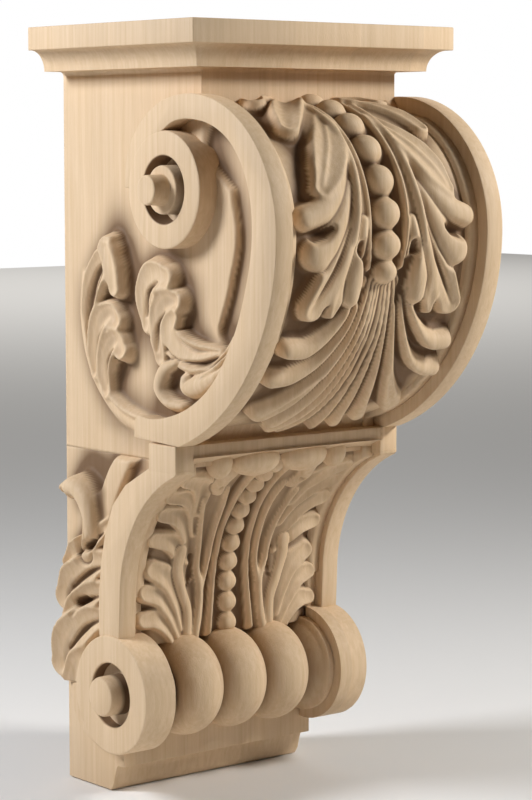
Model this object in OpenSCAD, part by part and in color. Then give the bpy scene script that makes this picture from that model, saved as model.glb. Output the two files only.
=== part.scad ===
// Carved wooden corbel bracket: a moulded cap, a neck, a large roll with a
// beaded leaf panel, a shelf, a hollow lower panel, a turned spindle between
// two small volutes, and a plain base. One block of wood, flat at the back.
// The origin is the centre of the back face. X is across, +Y goes into the
// wall and +Z is up. Heights below are counted from the underside.

/* [Overall] */
// Height of the whole bracket
height = 356; // [352:1:372]
// Half width of the slab behind the scrolls
slab_half = 56.5; // [55:0.5:58]
// Half width over the scroll bands, the shelf and the lower rims
scroll_half = 66; // [64.5:0.5:67]

/* [Cap] */
// Half width of the cap board
cap_half = 76; // [75:0.5:80]
// Depth of the cap board from the wall
cap_depth = 124.5; // [122:0.5:130]
// Thickness of the cap board
cap_board = 10.6; // [8:0.2:12]
// Height of the cove under the cap board
cap_cove = 9.6; // [8:0.2:11]
// Inset of the foot of the cove on each side
cap_inset = 8.8; // [7:0.2:9.4]

/* [Neck and slab] */
// Depth of the neck from the wall
neck_depth = 105.4; // [100:0.2:110]
// Radius of the small cove where the neck meets the cap
neck_cove = 2; // [1:0.5:3]

/* [Large roll] */
// Height of the roll's foremost line
roll_z = 264; // [262:0.5:266]
// Distance from the wall to the centre of the upper arc
roll_depth = 107.5; // [105:0.5:109]
// Radius of the arc above the foremost line
roll_top_r = 60.3; // [58:0.1:61]
// Radius of the arc below the foremost line
roll_low_r = 99.5; // [98:0.5:101]
// Depth of the leaf panel below the rims
panel_sink = 8; // [6:0.5:9]

/* [Shelf and lower panel] */
// Underside of the shelf
shelf_z = 156.5; // [155:0.5:158]
// Thickness of the shelf at its ends
shelf_t = 13; // [12:0.5:14]
// Depth of the shelf from the wall
shelf_depth = 98; // [96:0.5:99]
// Radius of the hollow of the lower rims
hollow_r = 66.8; // [65:0.2:68]
// Distance from the wall to the centre of the hollow
hollow_depth = 122; // [120:0.5:123]
// Height of the centre of the hollow
hollow_z = 94; // [92:0.5:96]
// Depth of the lower panel below the rims
hollow_sink = 6.5; // [5:0.5:8]

/* [Volutes] */
// Radius of the upper volute's disc
eye_disc_r = 26; // [25:0.5:27]
// Distance from the wall to the centre of the upper disc
eye_disc_depth = 90; // [88:0.5:92]
// Height of the centre of the upper disc
eye_disc_z = 282.5; // [281:0.5:284]
// Radius of the lower volutes
foot_disc_r = 27.7; // [27:0.1:28.5]
// Distance from the wall to the centre of the lower volutes
foot_disc_depth = 48.8; // [48:0.2:50]
// Height of the centre of the lower volutes
foot_disc_z = 49.4; // [48.6:0.2:50]
// Radius of the hole around each eye
eye_hole_r = 15.6; // [14.5:0.1:16.5]
// Depth of the hole around each eye
eye_hole_d = 13; // [10:0.5:14]

/* [Base] */
// Depth of the upper tier of the base
base_depth = 45.1; // [44:0.2:46]
// Lower edge of the upper tier
base_tier_z = 13.5; // [12:0.5:15]
// Depth of the underside
base_foot = 34.3; // [32:0.2:36]

/* [Carving] */
// Number of beads on the roll
roll_beads = 8; // [6:1:8]
// Radius of a bead on the roll
roll_bead_r = 7.6; // [7:0.2:8]
// Number of beads in the hollow
hollow_beads = 10; // [8:1:11]
// Radius of a bead in the hollow
hollow_bead_r = 4.8; // [4.4:0.2:5.2]
// Number of fan blades on each side of the roll
fan_blades = 4; // [3:1:5]

/* [Hidden] */
wood = [0.87, 0.75, 0.58];
arc_fn = 64;
disc_fn = 24;
bead_fn = 8;
lobe_fn = 6;
neck_top = height - cap_board - cap_cove;
low_depth = roll_depth + roll_top_r - roll_low_r;
channel_sink = 3;
knob_half = cap_half - 0.2;
knob_r = 7.2;
knob_step_r = 11;
shelf_top = shelf_z + shelf_t;
overlap = 0.6;
bulb_pitch = 26;
belly_r = 24.4;
waist_r = 15;
curve_rise = 4.6;

// Runs an outline drawn in depth and height from x0 to x1.
module across(x0, x1) {
    translate([x0, 0, 0]) rotate([90, 0, 90]) linear_extrude(x1 - x0) children();
}

// Places a shape at both sides, the second one mirrored.
module both_sides() {
    children();
    mirror([1, 0, 0]) children();
}

// Section of the cap: outer point, then the cove down to its foot.
function cove_points(out) = [
    for (i = [0:4]) let (a = 90 * i / 4)
        [out - 1.6 - (cap_inset - 1.6) * sin(a), height - cap_board - cap_cove * (1 - cos(a))]
];

module cap() {
    side = concat([[0, height], [cap_depth, height], [cap_depth, height - cap_board]],
        cove_points(cap_depth), [[0, neck_top]]);
    half = concat([[0, height], [cap_half, height], [cap_half, height - cap_board]],
        cove_points(cap_half), [[0, neck_top]]);
    intersection() {
        across(-cap_half, cap_half) mirror([1, 0]) polygon(side);
        rotate([90, 0, 0]) linear_extrude(cap_depth) {
            polygon(half);
            mirror([1, 0]) polygon(half);
        }
    }
}

// The roll's outline, drawn in by the given amount.
module roll_outline(sink) {
    intersection() {
        translate([-roll_depth, roll_z]) circle(roll_top_r - sink, $fn = arc_fn);
        translate([-height, roll_z]) square([height, height]);
    }
    intersection() {
        translate([-low_depth, roll_z]) circle(roll_low_r - sink, $fn = arc_fn);
        translate([-height, shelf_top - overlap]) square([height, roll_z - shelf_top + overlap]);
    }
    translate([-low_depth, shelf_top - overlap]) square([low_depth, roll_z - shelf_top + 2 * overlap]);
}

// The hollow throat's outline above the lower volutes.
module throat_outline(sink) {
    difference() {
        translate([-shelf_depth, foot_disc_z]) square([shelf_depth, shelf_z - foot_disc_z + overlap]);
        translate([-hollow_depth, hollow_z]) circle(hollow_r + sink, $fn = arc_fn);
        translate([-height, foot_disc_z - 1])
            square([height - hollow_depth + hollow_r + sink, hollow_z - foot_disc_z + 1]);
    }
}

module base_outline() {
    polygon([[0, 0], [-base_foot, 0], [-base_foot - 3, 7.5], [-base_foot - 4.6, base_tier_z - 1.5],
        [-base_depth, base_tier_z], [-base_depth, foot_disc_z], [0, foot_disc_z]]);
}

module neck() {
    translate([-slab_half, -neck_depth, roll_z]) cube([2 * slab_half, neck_depth, neck_top - roll_z + overlap]);
    foot = neck_depth + neck_cove;
    translate([-slab_half - neck_cove, -foot, neck_top - neck_cove])
        cube([2 * (slab_half + neck_cove), foot, neck_cove + overlap]);
}

module core() {
    across(-slab_half, slab_half) {
        roll_outline(panel_sink);
        throat_outline(hollow_sink);
        translate([-shelf_depth + panel_sink, shelf_z - overlap])
            square([shelf_depth - panel_sink, shelf_t + panel_sink]);
        base_outline();
    }
}

module shelf() {
    lip = 4.5;
    across(-scroll_half, scroll_half) translate([-shelf_depth, shelf_top - lip]) square([shelf_depth - 60, lip]);
    both_sides() across(slab_half - 2, scroll_half)
        translate([-shelf_depth, shelf_z]) square([shelf_depth - 50, shelf_t + overlap]);
}

// Points round an arc, in depth and height; 0 degrees faces forward.
function arc(depth, z, r, a0, a1, n) = [
    for (i = [0:n]) let (a = a0 + (a1 - a0) * i / n) [-depth - r * cos(a), z + r * sin(a)]
];

// Outer edge of the scroll band, from its back end round to the shelf.
function band_outer() = concat(
    [[-61, 283], [-63, 297.5], [-72, 311.3], [-88, 321.4]],
    arc(roll_depth, roll_z, roll_top_r, 99, 0, 22),
    arc(low_depth, roll_z, roll_low_r, -4, -71.6, 18)
);

// Inner edge of the scroll band, from the shelf back up over the disc.
function band_inner() = [
    [-69, 180.5], [-80, 180.3], [-90, 181.8], [-100, 184.6], [-109, 188.6], [-118.5, 194.6], [-127, 202.6],
    [-135, 213.5], [-142, 227], [-147, 241], [-150.4, 254], [-151.6, 268], [-149.6, 282], [-143.8, 295],
    [-134.6, 305], [-122, 311.2], [-108, 313.4], [-98, 312.6], [-88, 306]
];

module scroll_band() {
    polygon(concat(band_outer(), [[-67, 171]], band_inner()));
}

// The lower side band, from the shelf down to the foot volute.
module throat_band() {
    polygon(concat([[-shelf_depth + 0.7, shelf_z + 1.5]], arc(hollow_depth, hollow_z, -hollow_r, -68.4, 0, 16), [
        [-54.6, 80], [-53.6, 66], [-40, 66], [-38.6, 80], [-38.8, 95], [-40.5, 110], [-44, 124], [-50, 138],
        [-57, 149], [-60, 157.8]
    ]));
}

module cheek() {
    across(slab_half - channel_sink - 1.5, scroll_half) scroll_band();
    across(slab_half - channel_sink - 1.4, scroll_half) throat_band();
    across(slab_half - 2, slab_half + curve_rise) polygon(concat(
        arc(hollow_depth - 4, hollow_z + 2, hollow_r + 24, 123, 158, 9),
        arc(hollow_depth - 4, hollow_z + 2, hollow_r + 37, 156, 128, 9)
    ));
}

// Sunk channel between the scroll band and the tongue beside the disc.
module channel() {
    across(slab_half - channel_sink, scroll_half + 1) polygon([
        [-96, 309], [-110, 317], [-128, 314], [-142, 303], [-152, 287], [-154.5, 268], [-152, 248], [-144, 225],
        [-131, 204], [-118, 220], [-128, 242], [-132.6, 262], [-134.6, 278], [-130, 291], [-118, 301]
    ]);
}

// Disc with a round hole and a stepped knob in it.
module volute(depth, z, r, face, root) {
    translate([root, -depth, z]) rotate([0, 90, 0]) difference() {
        cylinder(h = face - root, r = r, $fn = disc_fn);
        translate([0, 0, face - root - eye_hole_d]) cylinder(h = eye_hole_d + 1, r = eye_hole_r, $fn = disc_fn);
    }
    translate([root, -depth, z]) rotate([0, 90, 0]) {
        cylinder(h = face - root - 2, r = knob_step_r, $fn = 20);
        cylinder(h = knob_half - root, r = knob_r, $fn = 20);
    }
}

// Turned spindle: a cone and ring at each disc and three bulbs between.
function bulge(t) = waist_r + (belly_r - waist_r) * sqrt(max(0, 1 - t * t));

function spindle_half() = concat(
    [for (t = [0:0.5:1]) [bulb_pitch / 2 * t, bulge(t)]],
    [for (t = [-0.5:0.5:1]) [bulb_pitch + bulb_pitch / 2 * t, bulge(t)]],
    [[44, 18], [46, 22.4], [50, 23.2], [51, 25.6], [53, foot_disc_r - 0.8], [53, 0]]
);

module spindle() {
    half = spindle_half();
    last = len(half) - 1;
    profile = concat([for (i = [last:-1:1]) [half[i][1], -half[i][0]]], [for (p = half) [p[1], p[0]]]);
    translate([0, -foot_disc_depth, foot_disc_z]) rotate([0, 90, 0]) rotate_extrude($fn = disc_fn) polygon(profile);
}

// A point on the roll: x across, a degrees above the foremost line, h above
// the sunk panel.
function on_roll(x, a, h) = let (r = (a >= 0 ? roll_top_r : roll_low_r) - panel_sink + h,
    c = a >= 0 ? roll_depth : low_depth) [x, -c - r * cos(a), roll_z + r * sin(a)];

// A point in the hollow: a degrees round its centre, h above the panel.
function in_hollow(x, a, h) = let (r = hollow_r + hollow_sink - h)
    [x, -hollow_depth - r * cos(a), hollow_z + r * sin(a)];

// A tapered ridge through a list of points.
module ridge(points, r0, r1) {
    last = len(points) - 1;
    for (i = [0:last - 1]) hull() {
        translate(points[i]) sphere(r0 + (r1 - r0) * i / last, $fn = lobe_fn);
        translate(points[i + 1]) sphere(r0 + (r1 - r0) * (i + 1) / last, $fn = lobe_fn);
    }
}

module roll_carving() {
    step = 2 * roll_bead_r / (roll_top_r - panel_sink) * 57.3;
    for (i = [0:roll_beads - 1]) translate(on_roll(0, 72 - i * step * 0.93 * (i > 4 ? 0.9 : 1), 2))
        rotate([0, 90, 0]) sphere(roll_bead_r, $fn = bead_fn);
    both_sides() {
        for (i = [0:3]) ridge([for (t = [0:1.5:3]) on_roll(16 + 9 * t, 77 - 24 * i - 9 * t + t * t, 0.7)], 4, 7);
        ridge([for (t = [0:2:4]) on_roll(14 + t * t * 0.6, 60 - 17 * t, 0.7)], 6, 5);
        for (i = [0:fan_blades - 1])
            ridge([for (t = [0:2.25:4.5]) on_roll(4 + 3 * i + (2 + 2.4 * i) * t, -16 - 8 * t + i * t, 0.7)], 3, 5);
    }
}

module hollow_carving() {
    for (i = [0:hollow_beads - 1]) translate(in_hollow(0, 126 + i * 6.9, 1)) rotate([0, 90, 0]) sphere(hollow_bead_r, $fn = bead_fn);
    both_sides() {
        for (i = [0:4]) ridge([for (t = [0, 3]) in_hollow(16 + 9 * t, 150 + 9 * i - 6 * t, 0.7)], 3.4, 5.5);
        ridge([for (t = [0, 4]) in_hollow(13, 128 + 12 * t, 0.7)], 4, 3);
    }
    for (x = [-13, 13]) translate([x, -shelf_depth + 10, shelf_z + 4.7]) scale([12, 11, 8]) sphere(1, $fn = 12);
}

// A curled lobe on the side face, along an arc.
module side_lobe(depth, z, r, a0, a1, w0, w1) {
    steps = 2;
    ridge([for (t = [0:steps]) let (a = a0 + (a1 - a0) * t / steps)
        [slab_half, -depth - r * cos(a), z + r * sin(a)]], w0, w1);
}

module side_carving() {
    side_lobe(62, 226, 40, 150, 270, 4, 7);
    side_lobe(52, 226, 24, 100, 215, 6, 4);
    side_lobe(60, 206, 26, 120, 220, 6, 5);
    side_lobe(98, 232, 26, 110, 200, 6, 5);
    side_lobe(100, 246, 36, 200, 290, 5, 7);
    side_lobe(104, 228, 24, 150, 290, 5, 5);
    side_lobe(88, 198, 10, 40, 250, 4, 4);
    side_lobe(14, 137, 8, -20, 190, 4, 5);
    side_lobe(60, 128, 45, 150, 225, 7, 7);
    side_lobe(50, 96, 34, 130, 200, 9, 8);
    side_lobe(44, 72, 26, 130, 210, 9, 6);
}

module corbel() {
    color(wood) translate([0, 0, -height / 2]) union() {
        difference() {
            union() {
                cap();
                neck();
                core();
                shelf();
            }
            both_sides() channel();
        }
        spindle();
        both_sides() {
            cheek();
            volute(eye_disc_depth, eye_disc_z, eye_disc_r, scroll_half + 0.05, slab_half - channel_sink - overlap);
            volute(foot_disc_depth, foot_disc_z, foot_disc_r, scroll_half + 1, slab_half - 4.5);
            side_carving();
        }
        roll_carving();
        hollow_carving();
    }
}

corbel();
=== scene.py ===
"""Carved wooden corbel bracket: cap, roll with a beaded leaf panel, shelf,
hollow lower panel, turned spindle, volutes, side leaves and base."""

import logging
import math
from collections.abc import Callable, Sequence
from dataclasses import dataclass, field
from enum import Enum
from functools import partial

import bpy
import numpy as np
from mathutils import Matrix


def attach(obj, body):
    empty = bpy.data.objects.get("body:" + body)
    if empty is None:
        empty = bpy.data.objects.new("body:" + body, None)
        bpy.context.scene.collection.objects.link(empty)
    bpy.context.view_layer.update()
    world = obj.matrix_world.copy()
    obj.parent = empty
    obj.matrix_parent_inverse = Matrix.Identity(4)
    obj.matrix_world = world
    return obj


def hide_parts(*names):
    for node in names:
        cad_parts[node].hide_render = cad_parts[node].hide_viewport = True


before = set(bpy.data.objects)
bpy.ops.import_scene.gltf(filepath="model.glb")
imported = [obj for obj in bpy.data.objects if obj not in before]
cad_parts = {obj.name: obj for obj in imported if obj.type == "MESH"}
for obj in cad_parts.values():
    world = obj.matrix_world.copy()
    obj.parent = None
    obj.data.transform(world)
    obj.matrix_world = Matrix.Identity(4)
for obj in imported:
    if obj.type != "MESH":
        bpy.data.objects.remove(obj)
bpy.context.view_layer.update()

LOG = logging.getLogger("corbel")
MM = 0.001
HALF_HEIGHT = 178.0
NODE = "corbel"
BODY = "root"

# Sizes shared by several pieces, in millimetres. Heights are counted from the
# underside and depths from the wall.
SLAB_HALF = 56.5
SCROLL_HALF = 66.0
CAP_HALF = 76.0
CAP_DEPTH = 124.5
NECK_DEPTH = 105.4
ROLL_Z = 264.0
ROLL_DEPTH = 107.5
ROLL_TOP_R = 60.3
ROLL_LOW_DEPTH = 68.3
ROLL_LOW_R = 99.5
HOLLOW_DEPTH = 122.0
HOLLOW_Z = 94.0
HOLLOW_R = 66.8
SHELF_TOP = 169.5
SHELF_LOW = 156.5
SHELF_DEPTH = 98.0
EYE_DEPTH = 90.0
EYE_Z = 282.5
FOOT_DEPTH = 48.8
FOOT_Z = 49.4
CHUNK_BACK = 50.0
PANEL_HALF = 56.45
PANEL_BACK = 52.0
PANEL_SKIN = 3.0
SIDES = ((-1, "left"), (1, "right"))

# How the carving is shaped: slope of a stroke's wall, roundness of a bead, the
# distances in grid steps over which a recess is judged for its painted shade, and
# the depth in millimetres at which that painted shade is full.
WALL_POWER = 1.5
BEAD_POWER = 0.42
SHADE_STEPS = (1, 2, 4, 6, 8, 12)
SHADE_FULL_DEPTH = 1.8
TINY = 1e-9

# Angles in degrees over which an edge stays sharp and is eased.
SHARP_ANGLE = 30.0
EASED_ANGLE = 40.0

# Where the lamps point, in metres.
LAMP_AIM = (0.0, -0.06, 0.0)

WELD = partial(bpy.ops.mesh.remove_doubles, threshold=2e-6)
OUTWARDS = partial(bpy.ops.mesh.normals_make_consistent, inside=False)

Point = tuple[float, float]
Points = Sequence[Point]
Triple = tuple[float, float, float]


class Section(Enum):
    """Cross-section that a pass of the gouge leaves."""

    SPOON = "spoon"
    DOME = "dome"
    GROOVE = "groove"


class Blend(Enum):
    """How a pass meets the wood already there."""

    OVER = "over"
    HIGHEST = "highest"


@dataclass(frozen=True)
class Stroke:
    """One lobe, crest or groove along a curved spine.

    Points are in millimetres on the carved surface. Widths are half widths.
    Crown is how far a dome falls or a spoon sinks, as a share of the height,
    tilt is the rise towards the spine's left-hand side, and wall is how far
    the edge of the stroke runs out.
    """

    spine: Points
    width: Sequence[float]
    height: Sequence[float]
    section: Section = Section.SPOON
    crown: float = 0.25
    tilt: float = 0.0
    wall: float = 1.3
    blend: Blend = Blend.OVER


def curve(points: Points, spacing: float = 0.3) -> tuple[np.ndarray, np.ndarray]:
    """Smooth curve through a few points.

    Args:
        points: The points to pass through.
        spacing: Distance between samples, in millimetres.

    Returns:
        The samples and, for each, its place along the list of points.
    """
    p = np.array(points, dtype=float)
    if len(p) == 1:
        p = np.vstack([p, p + [0.01, 0.0]])
    ends = np.vstack([2 * p[0] - p[1], p, 2 * p[-1] - p[-2]])
    out = []
    where = []
    for i in range(len(p) - 1):
        a, b, c, d = ends[i], ends[i + 1], ends[i + 2], ends[i + 3]
        n = max(2, int(np.linalg.norm(c - b) / spacing))
        t = np.arange(n)[:, None] / n
        out.append(0.5 * (2 * b + (c - a) * t + (2 * a - 5 * b + 4 * c - d) * t**2
                          + (3 * b - a - 3 * c + d) * t**3))
        where.append(i + t[:, 0])
    out.append(p[-1:])
    where.append(np.array([len(p) - 1.0]))
    return np.vstack(out), np.concatenate(where)


@dataclass
class Relief:
    """Height of the wood over a surface, cut by strokes.

    Args:
        u: First coordinate of every grid point, in millimetres.
        v: Second coordinate of every grid point, in millimetres.
        height: Height of every grid point over the ground.
    """

    u: np.ndarray
    v: np.ndarray
    height: np.ndarray

    def carve(self, stroke: Stroke) -> None:
        """Cut one stroke.

        Args:
            stroke: The stroke to cut.
        """
        samples, place = curve(stroke.spine)
        reach = max(stroke.width) + stroke.wall
        low = samples.min(axis=0) - reach
        high = samples.max(axis=0) + reach
        box = (self.u > low[0]) & (self.u < high[0]) & (self.v > low[1]) & (self.v < high[1])
        if not box.any():
            return
        pts = np.stack([self.u[box], self.v[box]], axis=1)
        gap = pts[:, None, :] - samples[None, :, :]
        near = np.argmin((gap**2).sum(axis=2), axis=1)
        tangent = np.gradient(samples, axis=0)
        length = np.linalg.norm(tangent, axis=1) + TINY
        tan = (tangent / length[:, None])[near]
        vec = pts - samples[near]
        along = (vec * tan).sum(axis=1)
        across = tan[:, 0] * vec[:, 1] - tan[:, 1] * vec[:, 0]
        past = ((near == 0) & (along < 0)) | ((near == len(samples) - 1) & (along > 0))
        dist = np.hypot(vec[:, 0], vec[:, 1])
        # Place along the list of points, between the samples too.
        t = place[near] + np.where(past, 0.0, along) * (np.gradient(place) / length)[near]
        last = len(stroke.spine) - 1
        wide = np.interp(t, np.linspace(0, last, len(stroke.width)), stroke.width)
        tall = np.interp(t, np.linspace(0, last, len(stroke.height)), stroke.height)
        s = np.clip(dist / wide, 0.0, 1.0)
        side = np.clip(across / wide, -1.0, 1.0)
        now = self.height[box]
        if stroke.section is Section.GROOVE:
            self.height[box] = now - tall * np.sqrt(1 - s**2)
            return
        if stroke.section is Section.DOME:
            new = tall * (1 - stroke.crown + stroke.crown * np.sqrt(1 - s**2))
        else:
            new = tall * (1 - stroke.crown * (1 - s**2))
        new = new + stroke.tilt * side * tall
        cover = np.clip(1.0 - (dist - wide) / stroke.wall, 0.0, 1.0) ** WALL_POWER
        laid = now * (1 - cover) + new * cover
        if stroke.blend is Blend.HIGHEST:
            laid = np.maximum(now, laid)
        self.height[box] = laid

    def bead(self, v: float, ru: float, rv: float, rise: float) -> None:
        """Round bead on the middle line.

        Args:
            v: Where its centre is.
            ru: Radius along the first coordinate.
            rv: Radius along the second coordinate.
            rise: Height of its top over the ground.
        """
        q = (self.u / ru) ** 2 + ((self.v - v) / rv) ** 2
        top = rise * np.clip(1 - q, 0.0, 1.0) ** BEAD_POWER
        self.height = np.where(q < 1, np.maximum(self.height, top), self.height)

    def ease(self, passes: int) -> None:
        """Take the sharpness off every edge.

        Args:
            passes: How many times the neighbours are mixed in.
        """
        for _ in range(passes):
            h = np.pad(self.height, 1, mode="edge")
            self.height = (4 * self.height + 2 * (h[1:-1, :-2] + h[1:-1, 2:] + h[:-2, 1:-1] + h[2:, 1:-1])
                           + h[:-2, :-2] + h[:-2, 2:] + h[2:, :-2] + h[2:, 2:]) / 16

    def finish(self, low: float, high: float, passes: int) -> np.ndarray:
        """Limit the heights, then ease the edges.

        Args:
            low: Least height.
            high: Greatest height.
            passes: How many times the edges are eased.

        Returns:
            How far each point lies below the wood around it, 0 to 1; it sets how much shade is painted there.
        """
        self.height = np.clip(self.height, low, high)
        wide = self.height
        for step in SHADE_STEPS:
            h = np.pad(wide, step, mode="edge")
            wide = (h[:-2 * step, step:-step] + h[2 * step:, step:-step]
                    + h[step:-step, :-2 * step] + h[step:-step, 2 * step:] + wide) / 5
        recess_shade = np.clip((wide - self.height) / SHADE_FULL_DEPTH, 0.0, 1.0)
        self.ease(passes)
        return recess_shade


def at(x: float | np.ndarray, depth: float | np.ndarray, z: float | np.ndarray) -> np.ndarray:
    """Place points in the shared frame.

    Args:
        x: Across, in millimetres.
        depth: Distance from the wall, in millimetres.
        z: Height over the underside, in millimetres.

    Returns:
        The points in metres.
    """
    x, depth, z = np.broadcast_arrays(x, depth, z)
    return np.stack([x, -depth, z - HALF_HEIGHT], axis=-1) * MM


def clear() -> None:
    """Leave edit mode with nothing selected."""
    if bpy.context.object and bpy.context.object.mode != "OBJECT":
        bpy.ops.object.mode_set(mode="OBJECT")
    bpy.ops.object.select_all(action="DESELECT")


def named(name: str) -> bpy.types.Object:
    """Name the object just made and its mesh."""
    obj = bpy.context.active_object
    obj.name = name
    obj.data.name = name
    return obj


def put(obj: bpy.types.Object, points: np.ndarray) -> None:
    """Move every vertex of a mesh to a new place."""
    obj.data.vertices.foreach_set("co", points.reshape(-1).astype(np.float32))
    obj.data.update()


def places(obj: bpy.types.Object) -> np.ndarray:
    """Read where the vertices of a mesh are."""
    out = np.empty(len(obj.data.vertices) * 3, dtype=np.float32)
    obj.data.vertices.foreach_get("co", out)
    return out.reshape(-1, 3).astype(float)


def relax(points: np.ndarray, passes: int) -> np.ndarray:
    """Even out the steps that a grid leaves on steep walls.

    Args:
        points: Rows of columns of places.
        passes: How many times each place on a wall moves to the middle of its neighbours.

    Returns:
        The places, with the outline and the gentle slopes kept.
    """
    out = points.copy()
    usual = np.median(np.linalg.norm(np.diff(points, axis=1), axis=2))
    for _ in range(passes):
        across = np.linalg.norm(out[1:-1, 2:] - out[1:-1, :-2], axis=2)
        along = np.linalg.norm(out[2:, 1:-1] - out[:-2, 1:-1], axis=2)
        steep = np.clip((np.maximum(across, along) / (2 * usual) - 1.15) / 0.8, 0.12, 0.8)[..., None]
        middle = (out[:-2, 1:-1] + out[2:, 1:-1] + out[1:-1, :-2] + out[1:-1, 2:]) / 4
        out[1:-1, 1:-1] = (1 - steep) * out[1:-1, 1:-1] + steep * middle
    return out


def sheet(name: str, points: np.ndarray) -> bpy.types.Object:
    """Grid laid over a surface.

    Args:
        name: Name of the piece.
        points: Rows of columns of places in metres.

    Returns:
        The new object.
    """
    clear()
    rows, cols = points.shape[:2]
    bpy.ops.mesh.primitive_grid_add(x_subdivisions=cols - 1, y_subdivisions=rows - 1, size=1)
    obj = named(name)
    flat = places(obj)
    i = np.rint((flat[:, 0] + 0.5) * (cols - 1)).astype(int)
    j = np.rint((flat[:, 1] + 0.5) * (rows - 1)).astype(int)
    put(obj, points[j, i])
    return obj


def edit_all(*steps: Callable[[], object]) -> None:
    """Run edit-mode steps on the active mesh, each with everything selected."""
    bpy.ops.object.mode_set(mode="EDIT")
    for step in steps:
        bpy.ops.mesh.select_all(action="SELECT")
        step()
    bpy.ops.object.mode_set(mode="OBJECT")


def finish_mesh(obj: bpy.types.Object, angle: float | None = None) -> None:
    """Turn the faces outwards and shade them.

    Args:
        obj: The piece.
        angle: Angle in degrees over which an edge stays sharp, or None for none.
    """
    clear()
    obj.select_set(True)
    bpy.context.view_layer.objects.active = obj
    edit_all(OUTWARDS)
    if angle is None:
        bpy.ops.object.shade_smooth()
    else:
        bpy.ops.object.shade_smooth_by_angle(angle=math.radians(angle))


def run_back(obj: bpy.types.Object, move: Callable[[np.ndarray], np.ndarray]) -> None:
    """Extrude the selected edges.

    Args:
        obj: The sheet, in object mode.
        move: Says where the new vertices go from where they start.
    """
    count = len(obj.data.vertices)
    bpy.ops.object.mode_set(mode="EDIT")
    bpy.ops.mesh.extrude_edges_move()
    bpy.ops.object.mode_set(mode="OBJECT")
    pts = places(obj)
    pts[count:] = move(pts[count:])
    put(obj, pts)


def close_behind(obj: bpy.types.Object, axis: int, value: float, ring: np.ndarray | None = None) -> None:
    """Run the open edge of a sheet back to a plane and fill it.

    Args:
        obj: The sheet.
        axis: Axis the plane is square to.
        value: Where the plane is, in metres.
        ring: Where each vertex of the sheet goes first, or None to go straight.
    """
    order = {tuple(np.round(p, 7)): i for i, p in enumerate(places(obj))}

    def inwards(pts: np.ndarray) -> np.ndarray:
        """Places in the ring."""
        return ring[[order[tuple(np.round(p, 7))] for p in pts]]

    def onto_plane(pts: np.ndarray) -> np.ndarray:
        """Places on the plane."""
        pts[:, axis] = value
        return pts

    bpy.ops.object.mode_set(mode="EDIT")
    bpy.ops.mesh.select_mode(type="EDGE")
    bpy.ops.mesh.select_all(action="DESELECT")
    bpy.ops.mesh.select_non_manifold(extend=False, use_wire=False, use_boundary=True,
                                     use_multi_face=False, use_non_contiguous=False, use_verts=False)
    bpy.ops.object.mode_set(mode="OBJECT")
    if ring is not None:
        run_back(obj, inwards)
    run_back(obj, onto_plane)
    bpy.ops.object.mode_set(mode="EDIT")
    bpy.ops.mesh.edge_face_add()
    bpy.ops.object.mode_set(mode="OBJECT")


def paint_recess_shade(obj: bpy.types.Object, painted_shade: np.ndarray) -> None:
    """Store how much shade is painted on each vertex, as a warm dark brown mixed into the wood's colour.

    Args:
        obj: The piece.
        painted_shade: Values from 0 to 1, for the first vertices or for all of them.
    """
    values = np.zeros(len(obj.data.vertices), dtype=np.float32)
    values[:painted_shade.size] = painted_shade.reshape(-1)
    layer = obj.data.attributes.new(name="recess_shade", type="FLOAT", domain="POINT")
    layer.data.foreach_set("value", values)


def block(name: str, outline: Points, x0: float, x1: float, bevel: float = 0.5) -> bpy.types.Object:
    """Block sawn to a side outline.

    Args:
        name: Name of the piece.
        outline: Corners as depth and height, in millimetres.
        x0: One side.
        x1: The other side.
        bevel: Width the edges are eased by, or 0.

    Returns:
        The new object.
    """
    clear()
    bpy.ops.mesh.primitive_circle_add(vertices=len(outline), radius=1, fill_type="NGON")
    obj = named(name)
    pts = np.array(outline, dtype=float)
    put(obj, at(x0, pts[:, 0], pts[:, 1]))
    push = {"value": ((x1 - x0) * MM, 0, 0)}
    edit_all(partial(bpy.ops.mesh.extrude_region_move, TRANSFORM_OT_translate=push), OUTWARDS)
    if bevel:
        mod = obj.modifiers.new("ease", "BEVEL")
        mod.width = bevel * MM
        mod.segments = 2
        mod.limit_method = "ANGLE"
        mod.angle_limit = math.radians(EASED_ANGLE)
        bpy.ops.object.modifier_apply(modifier=mod.name)
    finish_mesh(obj, SHARP_ANGLE)
    return obj


def turned(name: str, profile: Points, depth: float, z: float, segments: int = 96,
           angle: float = SHARP_ANGLE) -> bpy.types.Object:
    """Piece turned about a line across the bracket.

    Args:
        name: Name of the piece.
        profile: Places along the axis and radii, in millimetres.
        depth: Distance of the axis from the wall.
        z: Height of the axis.
        segments: Number of facets round it.
        angle: Angle in degrees over which an edge stays sharp.

    Returns:
        The new object.
    """
    pts = np.array(profile, dtype=float)
    turn = np.linspace(0, 2 * math.pi, segments + 1)
    x = np.repeat(pts[:, :1], segments + 1, axis=1)
    r = pts[:, 1:2]
    obj = sheet(name, at(x, depth + r * np.cos(turn)[None, :], z + r * np.sin(turn)[None, :]))
    edit_all(WELD)
    finish_mesh(obj, angle)
    return obj


def axis_distance(obj: bpy.types.Object, depth: float, z: float) -> np.ndarray:
    """Distance in millimetres of each vertex from a line across the bracket."""
    place = places(obj) / MM
    return np.hypot(-place[:, 1] - depth, place[:, 2] + HALF_HEIGHT - z)


def arc(depth: float, z: float, r: float, a0: float, a1: float, steps: int = 48) -> list[Point]:
    """Arc as depth and height; 0 degrees faces forward and 90 is up."""
    out = []
    for i in range(steps + 1):
        a = math.radians(a0 + (a1 - a0) * i / steps)
        out.append((depth + r * math.cos(a), z + r * math.sin(a)))
    return out


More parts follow.
